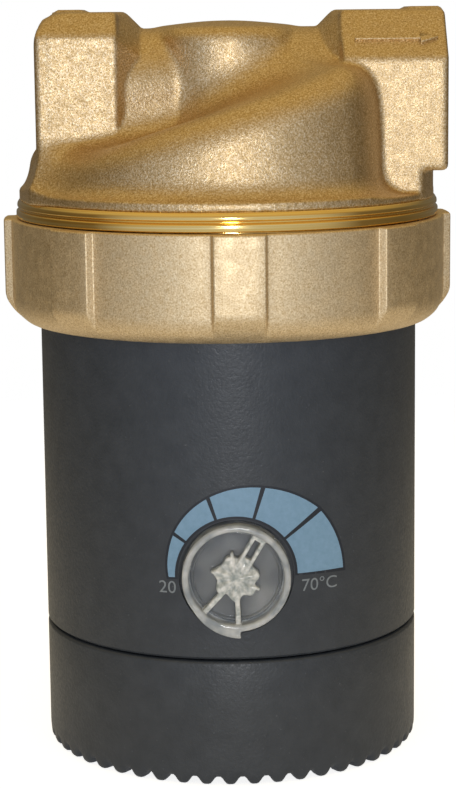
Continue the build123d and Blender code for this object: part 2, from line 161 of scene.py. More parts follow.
# Camera
CAMERA_PLACE = (-0.22, -450.0, 147.2)
CAMERA_PITCH_DEG = 9.68
CAMERA_ROLL_DEG = 0.63
CAMERA_LENS = 101.57
SENSOR_WIDTH = 36.0

# Floor, lamp and surround; these lengths are in metres
FLOOR_RADII = (0.0005, 0.1, 0.2, 0.3, 0.4, 0.5)
FLOOR_Z = -0.0001
LAMP_PLACE = (0.03, -0.9, 0.15)
LAMP_TARGET = (0, 0, 0.10)
LAMP_SIZE = 0.11
LAMP_POWER = 1.6
SURROUND_FRONT_TO_BACK = (
    (0.0, (0.58, 0.65, 0.78)), (0.20, (0.47, 0.48, 0.50)), (0.38, (0.16, 0.13, 0.085)),
    (0.65, (0.12, 0.10, 0.065)), (1.0, (0.15, 0.135, 0.11)),
)
OVERHEAD = (0.64, 0.49, 0.22)


# ---------------------------------------------------------------- mesh helpers
def mesh_piece(name, points, faces, body, materials, face_slots=None):
    """A mesh object from points in millimetres that rides on a CAD body."""
    mesh = bpy.data.meshes.new(name)
    points = np.asarray(points, np.float32) * MM
    if isinstance(faces, np.ndarray):
        count, corners = faces.shape
        mesh.vertices.add(len(points))
        mesh.vertices.foreach_set("co", points.ravel())
        mesh.loops.add(count * corners)
        mesh.loops.foreach_set("vertex_index", faces.ravel().astype(np.int32))
        mesh.polygons.add(count)
        mesh.polygons.foreach_set("loop_start", np.arange(0, count * corners, corners, dtype=np.int32))
        mesh.update(calc_edges=True)
    else:
        mesh.from_pydata([tuple(p) for p in points], [], faces)
    mesh.validate()
    for material in materials:
        mesh.materials.append(material)
    if face_slots is not None:
        mesh.polygons.foreach_set("material_index", np.asarray(face_slots, np.int32))
    mesh.polygons.foreach_set("use_smooth", np.full(len(mesh.polygons), True))
    piece = bpy.data.objects.new(name, mesh)
    bpy.context.scene.collection.objects.link(piece)
    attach(piece, body)
    return piece


def grid_faces(rows, columns, close_rows=False, close_columns=False):
    """Quads of a grid of points stored row after row."""
    last_row = rows if close_rows else rows - 1
    last_column = columns if close_columns else columns - 1
    i, j = np.meshgrid(np.arange(last_row), np.arange(last_column), indexing="ij")
    i2, j2 = (i + 1) % rows, (j + 1) % columns
    return np.stack([i * columns + j, i * columns + j2, i2 * columns + j2, i2 * columns + j],
                    -1).reshape(-1, 4)


def bevelled(outline, radius, steps=4):
    """Closed outline with every corner rounded; radius may be a number or one for each corner."""
    outline = [np.array(p, float) for p in outline]
    radii = radius if hasattr(radius, "__len__") else [radius] * len(outline)
    rounded = []
    for k, corner in enumerate(outline):
        before, after = outline[k - 1], outline[(k + 1) % len(outline)]
        to_before, to_after = before - corner, after - corner
        reach = min(radii[k], 0.45 * np.linalg.norm(to_before), 0.45 * np.linalg.norm(to_after))
        if reach <= 0:
            rounded.append(corner)
            continue
        start = corner + to_before / np.linalg.norm(to_before) * reach
        end = corner + to_after / np.linalg.norm(to_after) * reach
        for t in np.linspace(0, 1, steps + 1):
            rounded.append((1 - t) ** 2 * start + 2 * t * (1 - t) * corner + t ** 2 * end)
    return np.array(rounded)


def turned(name, outline, body, material, segments=160):
    """Lathe piece from a closed outline of (radius, height)."""
    angles = np.linspace(0, 2 * math.pi, segments, endpoint=False)
    r, z = outline[:, 0], outline[:, 1]
    points = np.stack([np.outer(np.cos(angles), r), np.outer(np.sin(angles), r),
                       np.tile(z, (segments, 1))], -1).reshape(-1, 3)
    faces = grid_faces(segments, len(outline), close_rows=True, close_columns=True)
    return mesh_piece(name, points, faces, body, [material])


# ---------------------------------------------------------------- materials
def new_material(name):
    """An empty node material with a Principled shader on its output."""
    material = bpy.data.materials.new(name)
    material.use_nodes = True
    tree = material.node_tree
    tree.nodes.clear()
    output = tree.nodes.new("ShaderNodeOutputMaterial")
    shader = tree.nodes.new("ShaderNodeBsdfPrincipled")
    tree.links.new(shader.outputs["BSDF"], output.inputs["Surface"])
    return material, tree, shader


def noise(tree, scale, detail=3.0, roughness=0.55, stretch=(1, 1, 1)):
    """Noise factor over object coordinates; scale counts features per metre."""
    coordinates = tree.nodes.new("ShaderNodeTexCoord")
    mapping = tree.nodes.new("ShaderNodeMapping")
    mapping.inputs["Scale"].default_value = stretch
    texture = tree.nodes.new("ShaderNodeTexNoise")
    texture.inputs["Scale"].default_value = scale
    texture.inputs["Detail"].default_value = detail
    texture.inputs["Roughness"].default_value = roughness
    tree.links.new(coordinates.outputs["Object"], mapping.inputs["Vector"])
    tree.links.new(mapping.outputs["Vector"], texture.inputs["Vector"])
    return texture.outputs["Fac"]


def ramp(tree, factor, stops):
    """Colour ramp with (position, colour) stops."""
    node = tree.nodes.new("ShaderNodeValToRGB")
    while len(node.color_ramp.elements) < len(stops):
        node.color_ramp.elements.new(0.5)
    for element, (position, colour) in zip(node.color_ramp.elements, stops):
        element.position = position
        element.color = (*colour, 1.0)
    tree.links.new(factor, node.inputs["Fac"])
    return node.outputs["Color"]


def spread(tree, factor, low, high, start=0.3, end=0.7):
    """Maps a factor to a range of values."""
    node = tree.nodes.new("ShaderNodeMapRange")
    node.inputs["From Min"].default_value = start
    node.inputs["From Max"].default_value = end
    node.inputs["To Min"].default_value = low
    node.inputs["To Max"].default_value = high
    tree.links.new(factor, node.inputs["Value"])
    return node.outputs["Result"]


def bump(tree, height, distance, strength=1.0, below=None):
    """Normal from a height; distance is in millimetres, and below is a coarser normal under it."""
    node = tree.nodes.new("ShaderNodeBump")
    node.inputs["Distance"].default_value = distance * MM
    node.inputs["Strength"].default_value = strength
    tree.links.new(height, node.inputs["Height"])
    if below is not None:
        tree.links.new(below, node.inputs["Normal"])
    return node.outputs["Normal"]


def cast_brass():
    """Sand-cast brass: fine bright and dark grain, soft metallic gloss."""
    material, tree, shader = new_material("cast_brass")
    shader.inputs["Metallic"].default_value = 1.0
    grain = noise(tree, 3000, 2.0, 0.7)
    stops = [(0.30, (0.42, 0.28, 0.12)), (0.5, (0.66, 0.48, 0.26)), (0.70, (0.90, 0.76, 0.56))]
    colour = ramp(tree, grain, stops)
    tree.links.new(colour, shader.inputs["Base Color"])
    tree.links.new(spread(tree, noise(tree, 700, 4.0, 0.6), 0.36, 0.50), shader.inputs["Roughness"])
    waves = bump(tree, noise(tree, 220, 3.0, 0.5), 0.30, 0.5)
    tree.links.new(bump(tree, grain, 0.10, 0.8, waves), shader.inputs["Normal"])
    return material


def machined_brass():
    """Turned brass with concentric tool marks."""
    material, tree, shader = new_material("machined_brass")
    shader.inputs["Metallic"].default_value = 1.0
    marks = noise(tree, 900, 2.0, 0.5, (0.02, 0.02, 4.0))
    colour = ramp(tree, marks, [(0.3, (0.86, 0.52, 0.12)), (0.7, (0.99, 0.78, 0.36))])
    tree.links.new(colour, shader.inputs["Base Color"])
    tree.links.new(spread(tree, marks, 0.08, 0.16), shader.inputs["Roughness"])
    tree.links.new(bump(tree, marks, 0.03, 0.4), shader.inputs["Normal"])
    return material


def nut_brass():
    """Forged and blasted brass of the union ring."""
    material, tree, shader = new_material("nut_brass")
    shader.inputs["Metallic"].default_value = 1.0
    grain = noise(tree, 3200, 2.0, 0.7)
    colour = ramp(tree, grain, [(0.30, (0.60, 0.43, 0.22)), (0.70, (1.0, 0.84, 0.59))])
    tree.links.new(colour, shader.inputs["Base Color"])
    tree.links.new(spread(tree, noise(tree, 500, 4.0, 0.6), 0.45, 0.58), shader.inputs["Roughness"])
    tree.links.new(bump(tree, grain, 0.05, 0.7), shader.inputs["Normal"])
    return material


def moulded_plastic(name, dark, light, rough=(0.38, 0.5), grain=0.05, grain_scale=1800, dust=None):
    """Moulded plastic, rubber or ceramic with a fine skin, and specks of dust if it has a dust colour."""
    material, tree, shader = new_material(name)
    mottling = noise(tree, 260, 4.0, 0.6)
    colour = ramp(tree, mottling, [(0.3, dark), (0.7, light)])
    if dust:
        shader.inputs["Specular IOR Level"].default_value = 0.46
        specks = spread(tree, noise(tree, 1500, 2.0, 0.5), 0.0, 0.35, 0.70, 0.80)
        dusty = tree.nodes.new("ShaderNodeMix")
        dusty.data_type = "RGBA"
        dusty.inputs["B"].default_value = (*dust, 1.0)
        tree.links.new(specks, dusty.inputs["Factor"])
        tree.links.new(colour, dusty.inputs["A"])
        colour = dusty.outputs["Result"]
    tree.links.new(colour, shader.inputs["Base Color"])
    skin = noise(tree, grain_scale, 2.0, 0.6)
    tree.links.new(spread(tree, skin, *rough), shader.inputs["Roughness"])
    tree.links.new(bump(tree, skin, grain, 0.6), shader.inputs["Normal"])
    return material


def metal(name, dark, light, rough=(0.25, 0.4), scale=500, stretch=(1, 1, 1), depth=0.02):
    """Metal with streaks of colour, gloss and height."""
    material, tree, shader = new_material(name)
    shader.inputs["Metallic"].default_value = 1.0
    streaks = noise(tree, scale, 3.0, 0.6, stretch)
    tree.links.new(ramp(tree, streaks, [(0.3, dark), (0.7, light)]), shader.inputs["Base Color"])
    tree.links.new(spread(tree, streaks, *rough), shader.inputs["Roughness"])
    tree.links.new(bump(tree, streaks, depth, 0.5), shader.inputs["Normal"])
    return material


def clear_plastic(name, through, dark, light, scale, depth):
    """Clear moulded plastic; through is how much light passes straight through it. On the knob's edge and
    ribs, where little light passes, the near-white end of the colour speckle over the ripple is painted
    glints.
    """
    material, tree, shader = new_material(name)
    shader.inputs["IOR"].default_value = 1.49
    shader.inputs["Transmission Weight"].default_value = through
    ripple_and_painted_glints = noise(tree, scale, 2.0, 0.5)
    tree.links.new(ramp(tree, ripple_and_painted_glints, [(0.3, dark), (0.7, light)]), shader.inputs["Base Color"])
    tree.links.new(spread(tree, ripple_and_painted_glints, 0.04, 0.16), shader.inputs["Roughness"])
    tree.links.new(bump(tree, ripple_and_painted_glints, depth, 0.6), shader.inputs["Normal"])
    return material


def printed_ink(name, dark, light):
    """Matt printed ink, a little uneven."""
    material, tree, shader = new_material(name)
    patches = noise(tree, 900, 3.0, 0.6)
    tree.links.new(ramp(tree, patches, [(0.3, dark), (0.7, light)]), shader.inputs["Base Color"])
    tree.links.new(spread(tree, patches, 0.45, 0.6), shader.inputs["Roughness"])
    return material


BLACK = ((0.032, 0.039, 0.051), (0.045, 0.053, 0.067))
MATERIALS = {
    "cast_brass": cast_brass(),
    "nut_brass": nut_brass(),
    "black_plastic": moulded_plastic("black_plastic", *BLACK, (0.34, 0.50), 0.13, 1500, (0.16, 0.17, 0.19)),
    "seal_rubber": moulded_plastic("seal_rubber", (0.01, 0.01, 0.01), (0.02, 0.02, 0.02), (0.6, 0.75)),
    "stainless": metal("stainless", (0.50, 0.50, 0.51), (0.66, 0.66, 0.67)),
    "white_ceramic": moulded_plastic("white_ceramic", (0.80, 0.77, 0.70), (0.90, 0.88, 0.83),
                                     (0.1, 0.2), 0.01),
    "magnet": metal("magnet", (0.05, 0.05, 0.06), (0.10, 0.10, 0.11), (0.5, 0.7)),
    "lamination": metal("lamination", (0.20, 0.20, 0.22), (0.36, 0.36, 0.38), (0.4, 0.6), 700,
                        (0.1, 0.1, 6.0)),
    "copper_winding": metal("copper_winding", (0.55, 0.20, 0.07), (0.80, 0.38, 0.16), (0.25, 0.4), 900,
                            (0.1, 0.1, 5.0), 0.15),
    "nylon": moulded_plastic("nylon", (0.60, 0.57, 0.50), (0.72, 0.70, 0.63)),
    "impeller_plastic": moulded_plastic("impeller_plastic", (0.16, 0.10, 0.05), (0.25, 0.16, 0.08)),
    "board_green": moulded_plastic("board_green", (0.01, 0.12, 0.04), (0.02, 0.20, 0.07), (0.2, 0.35)),
    "capacitor_sleeve": moulded_plastic("capacitor_sleeve", (0.02, 0.03, 0.09), (0.03, 0.05, 0.14),
                                        (0.2, 0.3)),
    "film_yellow": moulded_plastic("film_yellow", (0.60, 0.45, 0.05), (0.72, 0.56, 0.09)),
    "terminal_green": moulded_plastic("terminal_green", (0.05, 0.25, 0.09), (0.08, 0.33, 0.13)),
    "zinc_screw": metal("zinc_screw", (0.50, 0.50, 0.48), (0.68, 0.68, 0.66)),
    "tinned_brass": metal("tinned_brass", (0.60, 0.50, 0.28), (0.76, 0.66, 0.42)),
    "clear_plastic": clear_plastic("clear_plastic", 0.78, (0.36, 0.41, 0.48), (0.97, 0.99, 1.0), 120, 0.08),
    "grey_plastic": moulded_plastic("grey_plastic", (0.16, 0.17, 0.18), (0.24, 0.25, 0.26)),
}
MACHINED = machined_brass()
# The knob's edge gets a whiter, less clear copy of the clear plastic: painted highlight, brighter than the
# clear moulding itself.
KNOB_EDGE_PAINTED_BRIGHT = clear_plastic("knob_edge_painted_bright", 0.45, (0.48, 0.53, 0.58), (0.97, 0.99, 1.0), 340, 0.25)
# The ribs and hub get a nearly opaque copy whose fine white speckle is painted glints, standing in for the
# sparkle of the clear relief.
KNOB_RIBS_PAINTED_GLINTS = clear_plastic("knob_ribs_painted_glints", 0.15, (0.36, 0.41, 0.41), (1.0, 1.0, 0.98), 900, 0.50)
PRINT_BLUE = printed_ink("print_blue", (0.19, 0.34, 0.50), (0.23, 0.39, 0.57))
PRINT_GREY = printed_ink("print_grey", (0.19, 0.22, 0.25), (0.25, 0.28, 0.31))
PRINT_NAVY = printed_ink("print_navy", (0.008, 0.012, 0.022), (0.014, 0.020, 0.034))


# ---------------------------------------------------------------- sculpted casting
def smooth_union(a, b, k):
    """Union of two distance fields with a fillet about k wide."""
    h = np.clip(0.5 + 0.5 * (b - a) / k, 0, 1)
    return b + (a - b) * h - k * h * (1 - h)


def smooth_cut(a, b, k):
    """Intersection with a rounded edge."""
    return -smooth_union(-a, -b, k)


def facet(a, b, k):
    """Flat 45 degree facet in the corner between two surfaces."""
    return (a + b - k) * DIAGONAL


def box_field(x, y, z, low, high, radius):
    """Distance to a box with rounded edges."""
    half = [(h - l) / 2 - radius for l, h in zip(low, high)]
    centre = [(h + l) / 2 for l, h in zip(low, high)]
    q = [np.abs(p - c) - s for p, c, s in zip((x, y, z), centre, half)]
    outside = np.sqrt(sum(np.maximum(d, 0) ** 2 for d in q))
    return outside + np.minimum(np.maximum(np.maximum(q[0], q[1]), q[2]), 0) - radius


def ramp_height(angle):
    """Height of the volute's crown at an angle from the front; it climbs to the outlet and falls behind."""
    climb = np.clip(RAMP_FRONT_Z + RAMP_RISE_PER_DEG * angle, VOLUTE_LOW, VOLUTE_HIGH)
    fall = np.clip((angle - RAMP_FALL_START_DEG) / RAMP_FALL_SPAN_DEG, 0, 1)
    return climb + (VOLUTE_LOW - VOLUTE_HIGH) * fall ** 2 * (3 - 2 * fall)


def passage_field(x, y, z):
    """Passage between the blocks: it widens towards the inlet, and its walls stand upright below its axis."""
    left = np.clip((-x - FLARE_START) / (-INLET_X[1] - FLARE_START), 0, 1)
    half = PIPE_R + left * (INLET_HALF - PIPE_R - FLARE_INSET)
    pipe = np.hypot(y * PIPE_R / half, np.maximum(z - PORT_Z, 0)) - PIPE_R
    return np.maximum(pipe, np.maximum(INLET_X[0] + 2.0 - x, x - OUTLET_X[0] - 4.0))


def blocks_field(x, y, z):
    """Distances to the inlet block and to the outlet block with its foot."""
    inlet = box_field(x, y, z, (INLET_X[0], -INLET_HALF, BLOCK_ROOT),
                      (INLET_X[1], INLET_HALF, BLOCK_TOP), BLOCK_EDGE_R)
    side_slope = (np.abs(y) - INLET_HALF + z - BLOCK_TOP + INLET_SLOPE) * DIAGONAL
    end_slope = (z - BLOCK_TOP - x + INLET_X[0] + INLET_END_SLOPE) * DIAGONAL
    inlet = smooth_cut(smooth_cut(inlet, side_slope, SLOPE_EDGE_R), end_slope, 3.0)
    outlet = box_field(x, y, z, (OUTLET_X[0], -OUTLET_HALF, OUTLET_BOTTOM),
                       (OUTLET_X[1], OUTLET_HALF, BLOCK_TOP), BLOCK_EDGE_R)
    side_slope = (np.abs(y) - OUTLET_HALF + z - BLOCK_TOP + OUTLET_SLOPE) * DIAGONAL
    outlet = smooth_cut(outlet, side_slope, SLOPE_EDGE_R)
    foot = box_field(x, y, z, (OUTLET_X[0], -OUTLET_HALF, OUTLET_FOOT_BOTTOM),
                     (OUTLET_FOOT_X, OUTLET_HALF, OUTLET_BOTTOM + 3.0), BLOCK_EDGE_R)
    foot = smooth_cut(foot, np.hypot(x, y) - OUTLET_FOOT_R, SLOPE_EDGE_R)
    return inlet, smooth_union(outlet, foot, 0.1)


def volute_field(x, y, z):
    """Spiral volute, the plate behind it and the flange they stand on."""
    radius = np.hypot(x, y)
    crown = (z - ramp_height(np.degrees(np.arctan2(x, -y)))) * 0.96
    volute = smooth_cut(radius - VOLUTE_R - VOLUTE_DRAFT * (VOLUTE_LOW - z), crown, CROWN_ROUND)
    volute = smooth_cut(volute, x - VOLUTE_END_X, VOLUTE_END_ROUND)
    plate = smooth_cut(smooth_cut(radius - VOLUTE_R, z - VOLUTE_LOW, 3.0), PLATE_FRONT_Y - y, 3.0)
    flange = np.maximum(radius - FLANGE_R, z - FLANGE_TOP)
    spiral = smooth_union(smooth_union(volute, plate, 2.0), flange, FLANGE_FILLET)
    return np.maximum(spiral, radius - FLANGE_R)


def casting_field(x, y, z):
    """Outside of the casting: chamber, passage, volute, blocks, gussets beside the blocks, and pads."""
    radius = np.hypot(x, y)
    dome = np.sqrt(x ** 2 + y ** 2 + (z - DOME_TOP + DOME_SPHERE_R) ** 2) - DOME_SPHERE_R
    chamber = smooth_cut(radius - CHAMBER_R, dome, DOME_ROUND)
    spine = smooth_union(chamber, passage_field(x, y, z), SPINE_FILLET)
    volute = volute_field(x, y, z)
    inlet, outlet = blocks_field(x, y, z)
    body = smooth_union(spine, volute, VOLUTE_FILLET)
    for block, half, drop, beside in ((inlet, INLET_HALF, INLET_SLOPE, x - INLET_X[1]),
                                      (outlet, OUTLET_HALF, OUTLET_SLOPE, OUTLET_X[0] - x)):
        front = np.abs(y) - half + np.maximum(beside, 0) + GUSSET_INSET
        cover = np.maximum(front, (front + z - BLOCK_TOP + drop) * DIAGONAL)
        ends = np.maximum(INLET_X[0] + GUSSET_END_INSET - x, x - OUTLET_X[1] + GUSSET_END_INSET)
        body = np.minimum(body, np.maximum(facet(spine, block, GUSSET), np.maximum(cover, ends)))
    body = smooth_union(smooth_union(body, inlet, BLOCK_FILLET), outlet, BLOCK_FILLET)
    body = np.maximum(body, z - BLOCK_TOP)
    for x0, x1, half in (INLET_PAD, OUTLET_PAD):
        pad = box_field(x, y, z, (x0, -half, BLOCK_TOP - 3.0), (x1, half, PAD_TOP), 0.3)
        body = smooth_union(body, pad, 0.5)
    return np.maximum(np.maximum(body, z - PAD_TOP), CAST_BOTTOM - z)


def bores_field(x, y, z):
    """Hollow inside of the casting: impeller eye, suction chamber, port passages and thread bores."""
    radius, port = np.hypot(x, y), np.hypot(y, z - PORT_Z)
    eye = np.maximum(radius - EYE_R, z - EYE_TOP)
    chamber = np.maximum(np.maximum(radius - CHAMBER_BORE_R, CHAMBER_BORE_Z[0] - z), z - CHAMBER_BORE_Z[1])
    inlet = np.maximum(port - PASSAGE_R, x - PASSAGE_INNER_X[0])
    outlet = np.maximum(port - PASSAGE_R, PASSAGE_INNER_X[1] - x)
    inlet_thread = np.maximum(port - THREAD_R[1] - 0.1, x - INLET_X[0] - THREAD_LENGTH)
    outlet_thread = np.maximum(port - THREAD_R[1] - 0.1, OUTLET_X[1] - THREAD_LENGTH - x)
    hollow = eye
    for part in (chamber, inlet, outlet, inlet_thread, outlet_thread):
        hollow = np.minimum(hollow, part)
    return hollow


def surface_net(field, low, step):
    """Points and quads of the zero level of a sampled field, one point in each crossed cell."""
    inside = field < 0
    cells = tuple(n - 1 for n in field.shape)
    total = np.zeros((3,) + cells, np.float32)
    count = np.zeros(cells, np.float32)
    crossings = []
    for axis in range(3):
        first = [slice(None)] * 3
        second = [slice(None)] * 3
        first[axis], second[axis] = slice(0, -1), slice(1, None)
        f0, f1 = field[tuple(first)], field[tuple(second)]
        crossed = inside[tuple(first)] != inside[tuple(second)]
        with np.errstate(divide="ignore", invalid="ignore"):
            t = np.where(crossed, f0 / (f0 - f1), 0).astype(np.float32)
        others = [a for a in range(3) if a != axis]
        for d0 in (0, 1):
            for d1 in (0, 1):
                window = [slice(None)] * 3
                window[others[0]] = slice(d0, d0 + cells[others[0]])
                window[others[1]] = slice(d1, d1 + cells[others[1]])
                hit = crossed[tuple(window)]
                total[axis] += t[tuple(window)]
                total[others[0]] += hit * d0
                total[others[1]] += hit * d1
                count += hit
        crossings.append((crossed, inside[tuple(first)], others))
    used = count > 0
    number = np.full(cells, -1, np.int64)
    number[used] = np.arange(used.sum())
    where = np.argwhere(used)
    points = (where + (total[:, used] / count[used]).T) * step + np.array(low)
    quads = []
    for axis, (crossed, start_inside, others) in enumerate(crossings):
        inner = [slice(None)] * 3
        for a in others:
            inner[a] = slice(1, -1)
        index = np.argwhere(crossed[tuple(inner)])
        flipped = start_inside[tuple(inner)][tuple(index.T)]
        for a in others:
            index[:, a] += 1
        ring = []
        for d0, d1 in ((1, 1), (0, 1), (0, 0), (1, 0)):
            cell = index.copy()
            cell[:, others[0]] -= d0
            cell[:, others[1]] -= d1
            ring.append(number[tuple(cell.T)])
        quad = np.stack(ring, -1)
        outward = flipped if axis != 1 else ~flipped
        quad[~outward] = quad[~outward][:, ::-1]
        quads.append(quad)
    return points, np.concatenate(quads)


def sampled(field, low, high, step):
    """Points and quads of a field's surface within a box."""
    axes = [np.arange(a, b + step, step, dtype=np.float32) for a, b in zip(low, high)]
    x, y, z = np.meshgrid(*axes, indexing="ij", sparse=True)
    values = np.broadcast_to(field(x, y, z), tuple(len(a) for a in axes)).astype(np.float32)
    return surface_net(values, low, step)


def pump_casting():
    """The casting as one sculpted mesh, with machined port faces."""
    points, quads = sampled(lambda x, y, z: np.maximum(casting_field(x, y, z), -bores_field(x, y, z)),
                            *CASTING_BOX, CASTING_STEP)
    centre = points[quads].mean(1)
    on_inlet_end = np.abs(centre[:, 0] - INLET_X[0]) < FACE_TOLERANCE
    inlet_face = on_inlet_end & (centre[:, 2] > VOLUTE_LOW + 1.0)
    machined = inlet_face | (centre[:, 0] > OUTLET_X[1] - FACE_TOLERANCE)
    piece = mesh_piece("pump_casting", points, quads, "volute",
                       [MATERIALS["cast_brass"], MACHINED], machined.astype(int))
    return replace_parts(piece, "volute_housing")


def flow_arrow():
    """Raised arrow on the front slope of the outlet block, pointing out of the port."""
    shaft, head, tip = 0.5, 1.5, 3.6
    outline = bevelled([
        (ARROW_X[0], -shaft), (ARROW_X[1] - tip, -shaft), (ARROW_X[1] - tip, -head), (ARROW_X[1], 0),
        (ARROW_X[1] - tip, head), (ARROW_X[1] - tip, shaft), (ARROW_X[0], shaft)], 0.3, 3)
    middle = np.array([(ARROW_X[0] + ARROW_X[1]) / 2, 0])
    front = -(OUTLET_HALF + BLOCK_TOP - OUTLET_SLOPE - ARROW_Z)
    rows = []
    for lift, shrink in ((-0.6, 1.0), (0.35, 1.0), (0.55, 0.93), (0.6, 0.8)):
        flat = middle + (outline * [1, shrink] - middle) * [1 - (1 - shrink) * 0.05, 1]
        rows.append(np.stack([flat[:, 0], front + (flat[:, 1] - lift) * DIAGONAL,
                              ARROW_Z + (flat[:, 1] + lift) * DIAGONAL], -1))
    count = len(outline)
    faces = [tuple(f) for f in grid_faces(len(rows), count, close_columns=True)]
    faces.append(tuple(range((len(rows) - 1) * count, len(rows) * count)))
    faces.append(tuple(reversed(range(count))))
    arrow = mesh_piece("flow_arrow", np.concatenate(rows), faces, "volute",
                       [MATERIALS["cast_brass"]])
    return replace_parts(arrow, "volute_housing")


def port_thread(name, mouth_x, inward):
    """Helical thread inside a port, from its mouth inwards."""
    around, along = 72, 84
    angle = np.linspace(0, 2 * math.pi, around, endpoint=False)
    depth = np.linspace(0.05, THREAD_LENGTH - 0.1, along)
    phase = (depth[:, None] / THREAD_PITCH - angle[None, :] / (2 * math.pi)) % 1
    tooth = np.clip(1.4 - 3.4 * np.abs(phase - 0.5), 0, 1)
    crest, root = THREAD_R
    radius = root - (root - crest) * tooth
    radius = np.maximum(radius, root + 0.25 - depth[:, None] * 0.9)
    radius = np.concatenate([radius, np.full((2, around), root + 0.5)])
    depth = np.concatenate([depth, depth[[-1, 0]]])
    x = np.broadcast_to((mouth_x + inward * depth)[:, None], radius.shape)
    points = np.stack([x, radius * np.cos(angle), PORT_Z + radius * np.sin(angle)], -1).reshape(-1, 3)
    faces = grid_faces(len(depth), around, close_rows=True, close_columns=True)
    piece = mesh_piece(name, points, faces, "volute", [MACHINED])
    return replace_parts(piece, "volute_housing")


# ---------------------------------------------------------------- turned brass
def machined_rim():
    """Turned rim of the casing above the union ring, with one groove."""
    z0, z1 = RIM_Z
    outline = bevelled([
        (WELL_R, z0 - 1.0), (RIM_R - 0.2, z0), (RIM_R, z0 + 0.2), (RIM_R, z0 + 1.5),
        (RIM_R - 0.7, z0 + 1.75), (RIM_R - 0.7, z0 + 2.0), (RIM_R - 0.2, z0 + 2.2),
        (RIM_R - 0.2, z1 - 0.6), (RIM_R - 0.7, z1 + 0.2), (WELL_R, z1 + 0.2),
    ], [0.1, 0.1, 0.7, 0.7, 0.1, 0.1, 0.6, 0.6, 0.3, 0.1], 8)
    rim = turned("machined_rim", outline, "volute", MACHINED, 200)
    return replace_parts(rim, "volute_housing")


def spigot():
    """Threaded spigot under the rim, which the union ring screws on to."""
    z0, z1 = SPIGOT_Z
    segments, rows = 160, 64
    angle = np.linspace(0, 2 * math.pi, segments, endpoint=False)
    z = np.linspace(z0 + 0.6, z1, rows)
    phase = (z[:, None] / SPIGOT_PITCH + angle[None, :] / (2 * math.pi)) % 1
    radius = SPIGOT_R - 0.1 - 0.9 * np.clip(3.0 * np.abs(phase - 0.5) - 0.4, 0, 1)
    radius = np.minimum(radius, SPIGOT_R - 1.1 + (z[:, None] - z0) * 0.8)
    foot = [(WELL_R, z1), (WELL_R, z0), (36.0, z0), (36.0, z0 + 2.6), (39.0, z0 + 2.6), (39.0, z0),
            (SPIGOT_R - 1.3, z0)]
    radius = np.concatenate([[np.full(segments, r) for r, _ in foot], radius])
    z = np.concatenate([[h for _, h in foot], z])
    points = np.stack([radius * np.cos(angle), radius * np.sin(angle),
                       np.broadcast_to(z[:, None], radius.shape)], -1).reshape(-1, 3)
    faces = grid_faces(len(z), segments, close_rows=True, close_columns=True)[:, ::-1]
    piece = mesh_piece("casing_spigot", points, faces, "volute", [MACHINED])
    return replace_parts(piece, "volute_housing")


# ---------------------------------------------------------------- union ring
def union_ring():
    """Union ring with raised grip pads, its section swept round and swollen at each pad."""
    z0, z1 = RING_Z
    plain = bevelled([
        (LIP_R, z0), (40.4, z0), (42.6, 88.6), (RING_R, 91.0), (RING_R, z1), (41.4, z1),
        (41.4, RING_LIP_TOP), (LIP_R, RING_LIP_TOP),
    ], [0.3, 1.4, 2.0, 1.6, 0.5, 0.3, 0.2, 0.3], 4)
    padded = bevelled([
        (LIP_R, z0), (40.4, z0), (43.2, 89.0), (PAD_R, 91.8), (PAD_R, z1), (41.4, z1),
        (41.4, RING_LIP_TOP), (LIP_R, RING_LIP_TOP),
    ], [0.3, 1.4, 2.0, 1.2, 0.5, 0.3, 0.2, 0.3], 4)
    flank = [(-1.10, 0.0), (-0.75, 0.03), (-0.62, 0.12), (-0.18, 0.88), (-0.05, 0.97), (0.30, 1.0)]
    columns = []
    for pad in range(PAD_COUNT):
        middle = FRONT_PAD_DEG + pad * 360 / PAD_COUNT
        columns += [(middle - PAD_HALF_DEG + d, w) for d, w in flank]
        columns += [(middle + d, 1.0) for d in (-3.6, -1.2, 1.2, 3.6)]
        columns += [(middle + PAD_HALF_DEG - d, w) for d, w in reversed(flank)]
        gap = 360 / PAD_COUNT - 2 * PAD_HALF_DEG - 2.2
        columns += [(middle + PAD_HALF_DEG + 1.1 + gap * k / 14, 0.0) for k in range(1, 14)]
    rows = []
    for degrees, weight in columns:
        outline = plain * (1 - weight) + padded * weight
        a = math.radians(degrees)
        rows.append(np.stack([outline[:, 0] * math.cos(a), outline[:, 0] * math.sin(a), outline[:, 1]], -1))
    points = np.concatenate(rows)
    faces = grid_faces(len(columns), len(plain), close_rows=True, close_columns=True)
    ring = mesh_piece("union_ring_forged", points, faces, "ring", [MATERIALS["nut_brass"]])
    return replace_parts(ring, "union_ring")


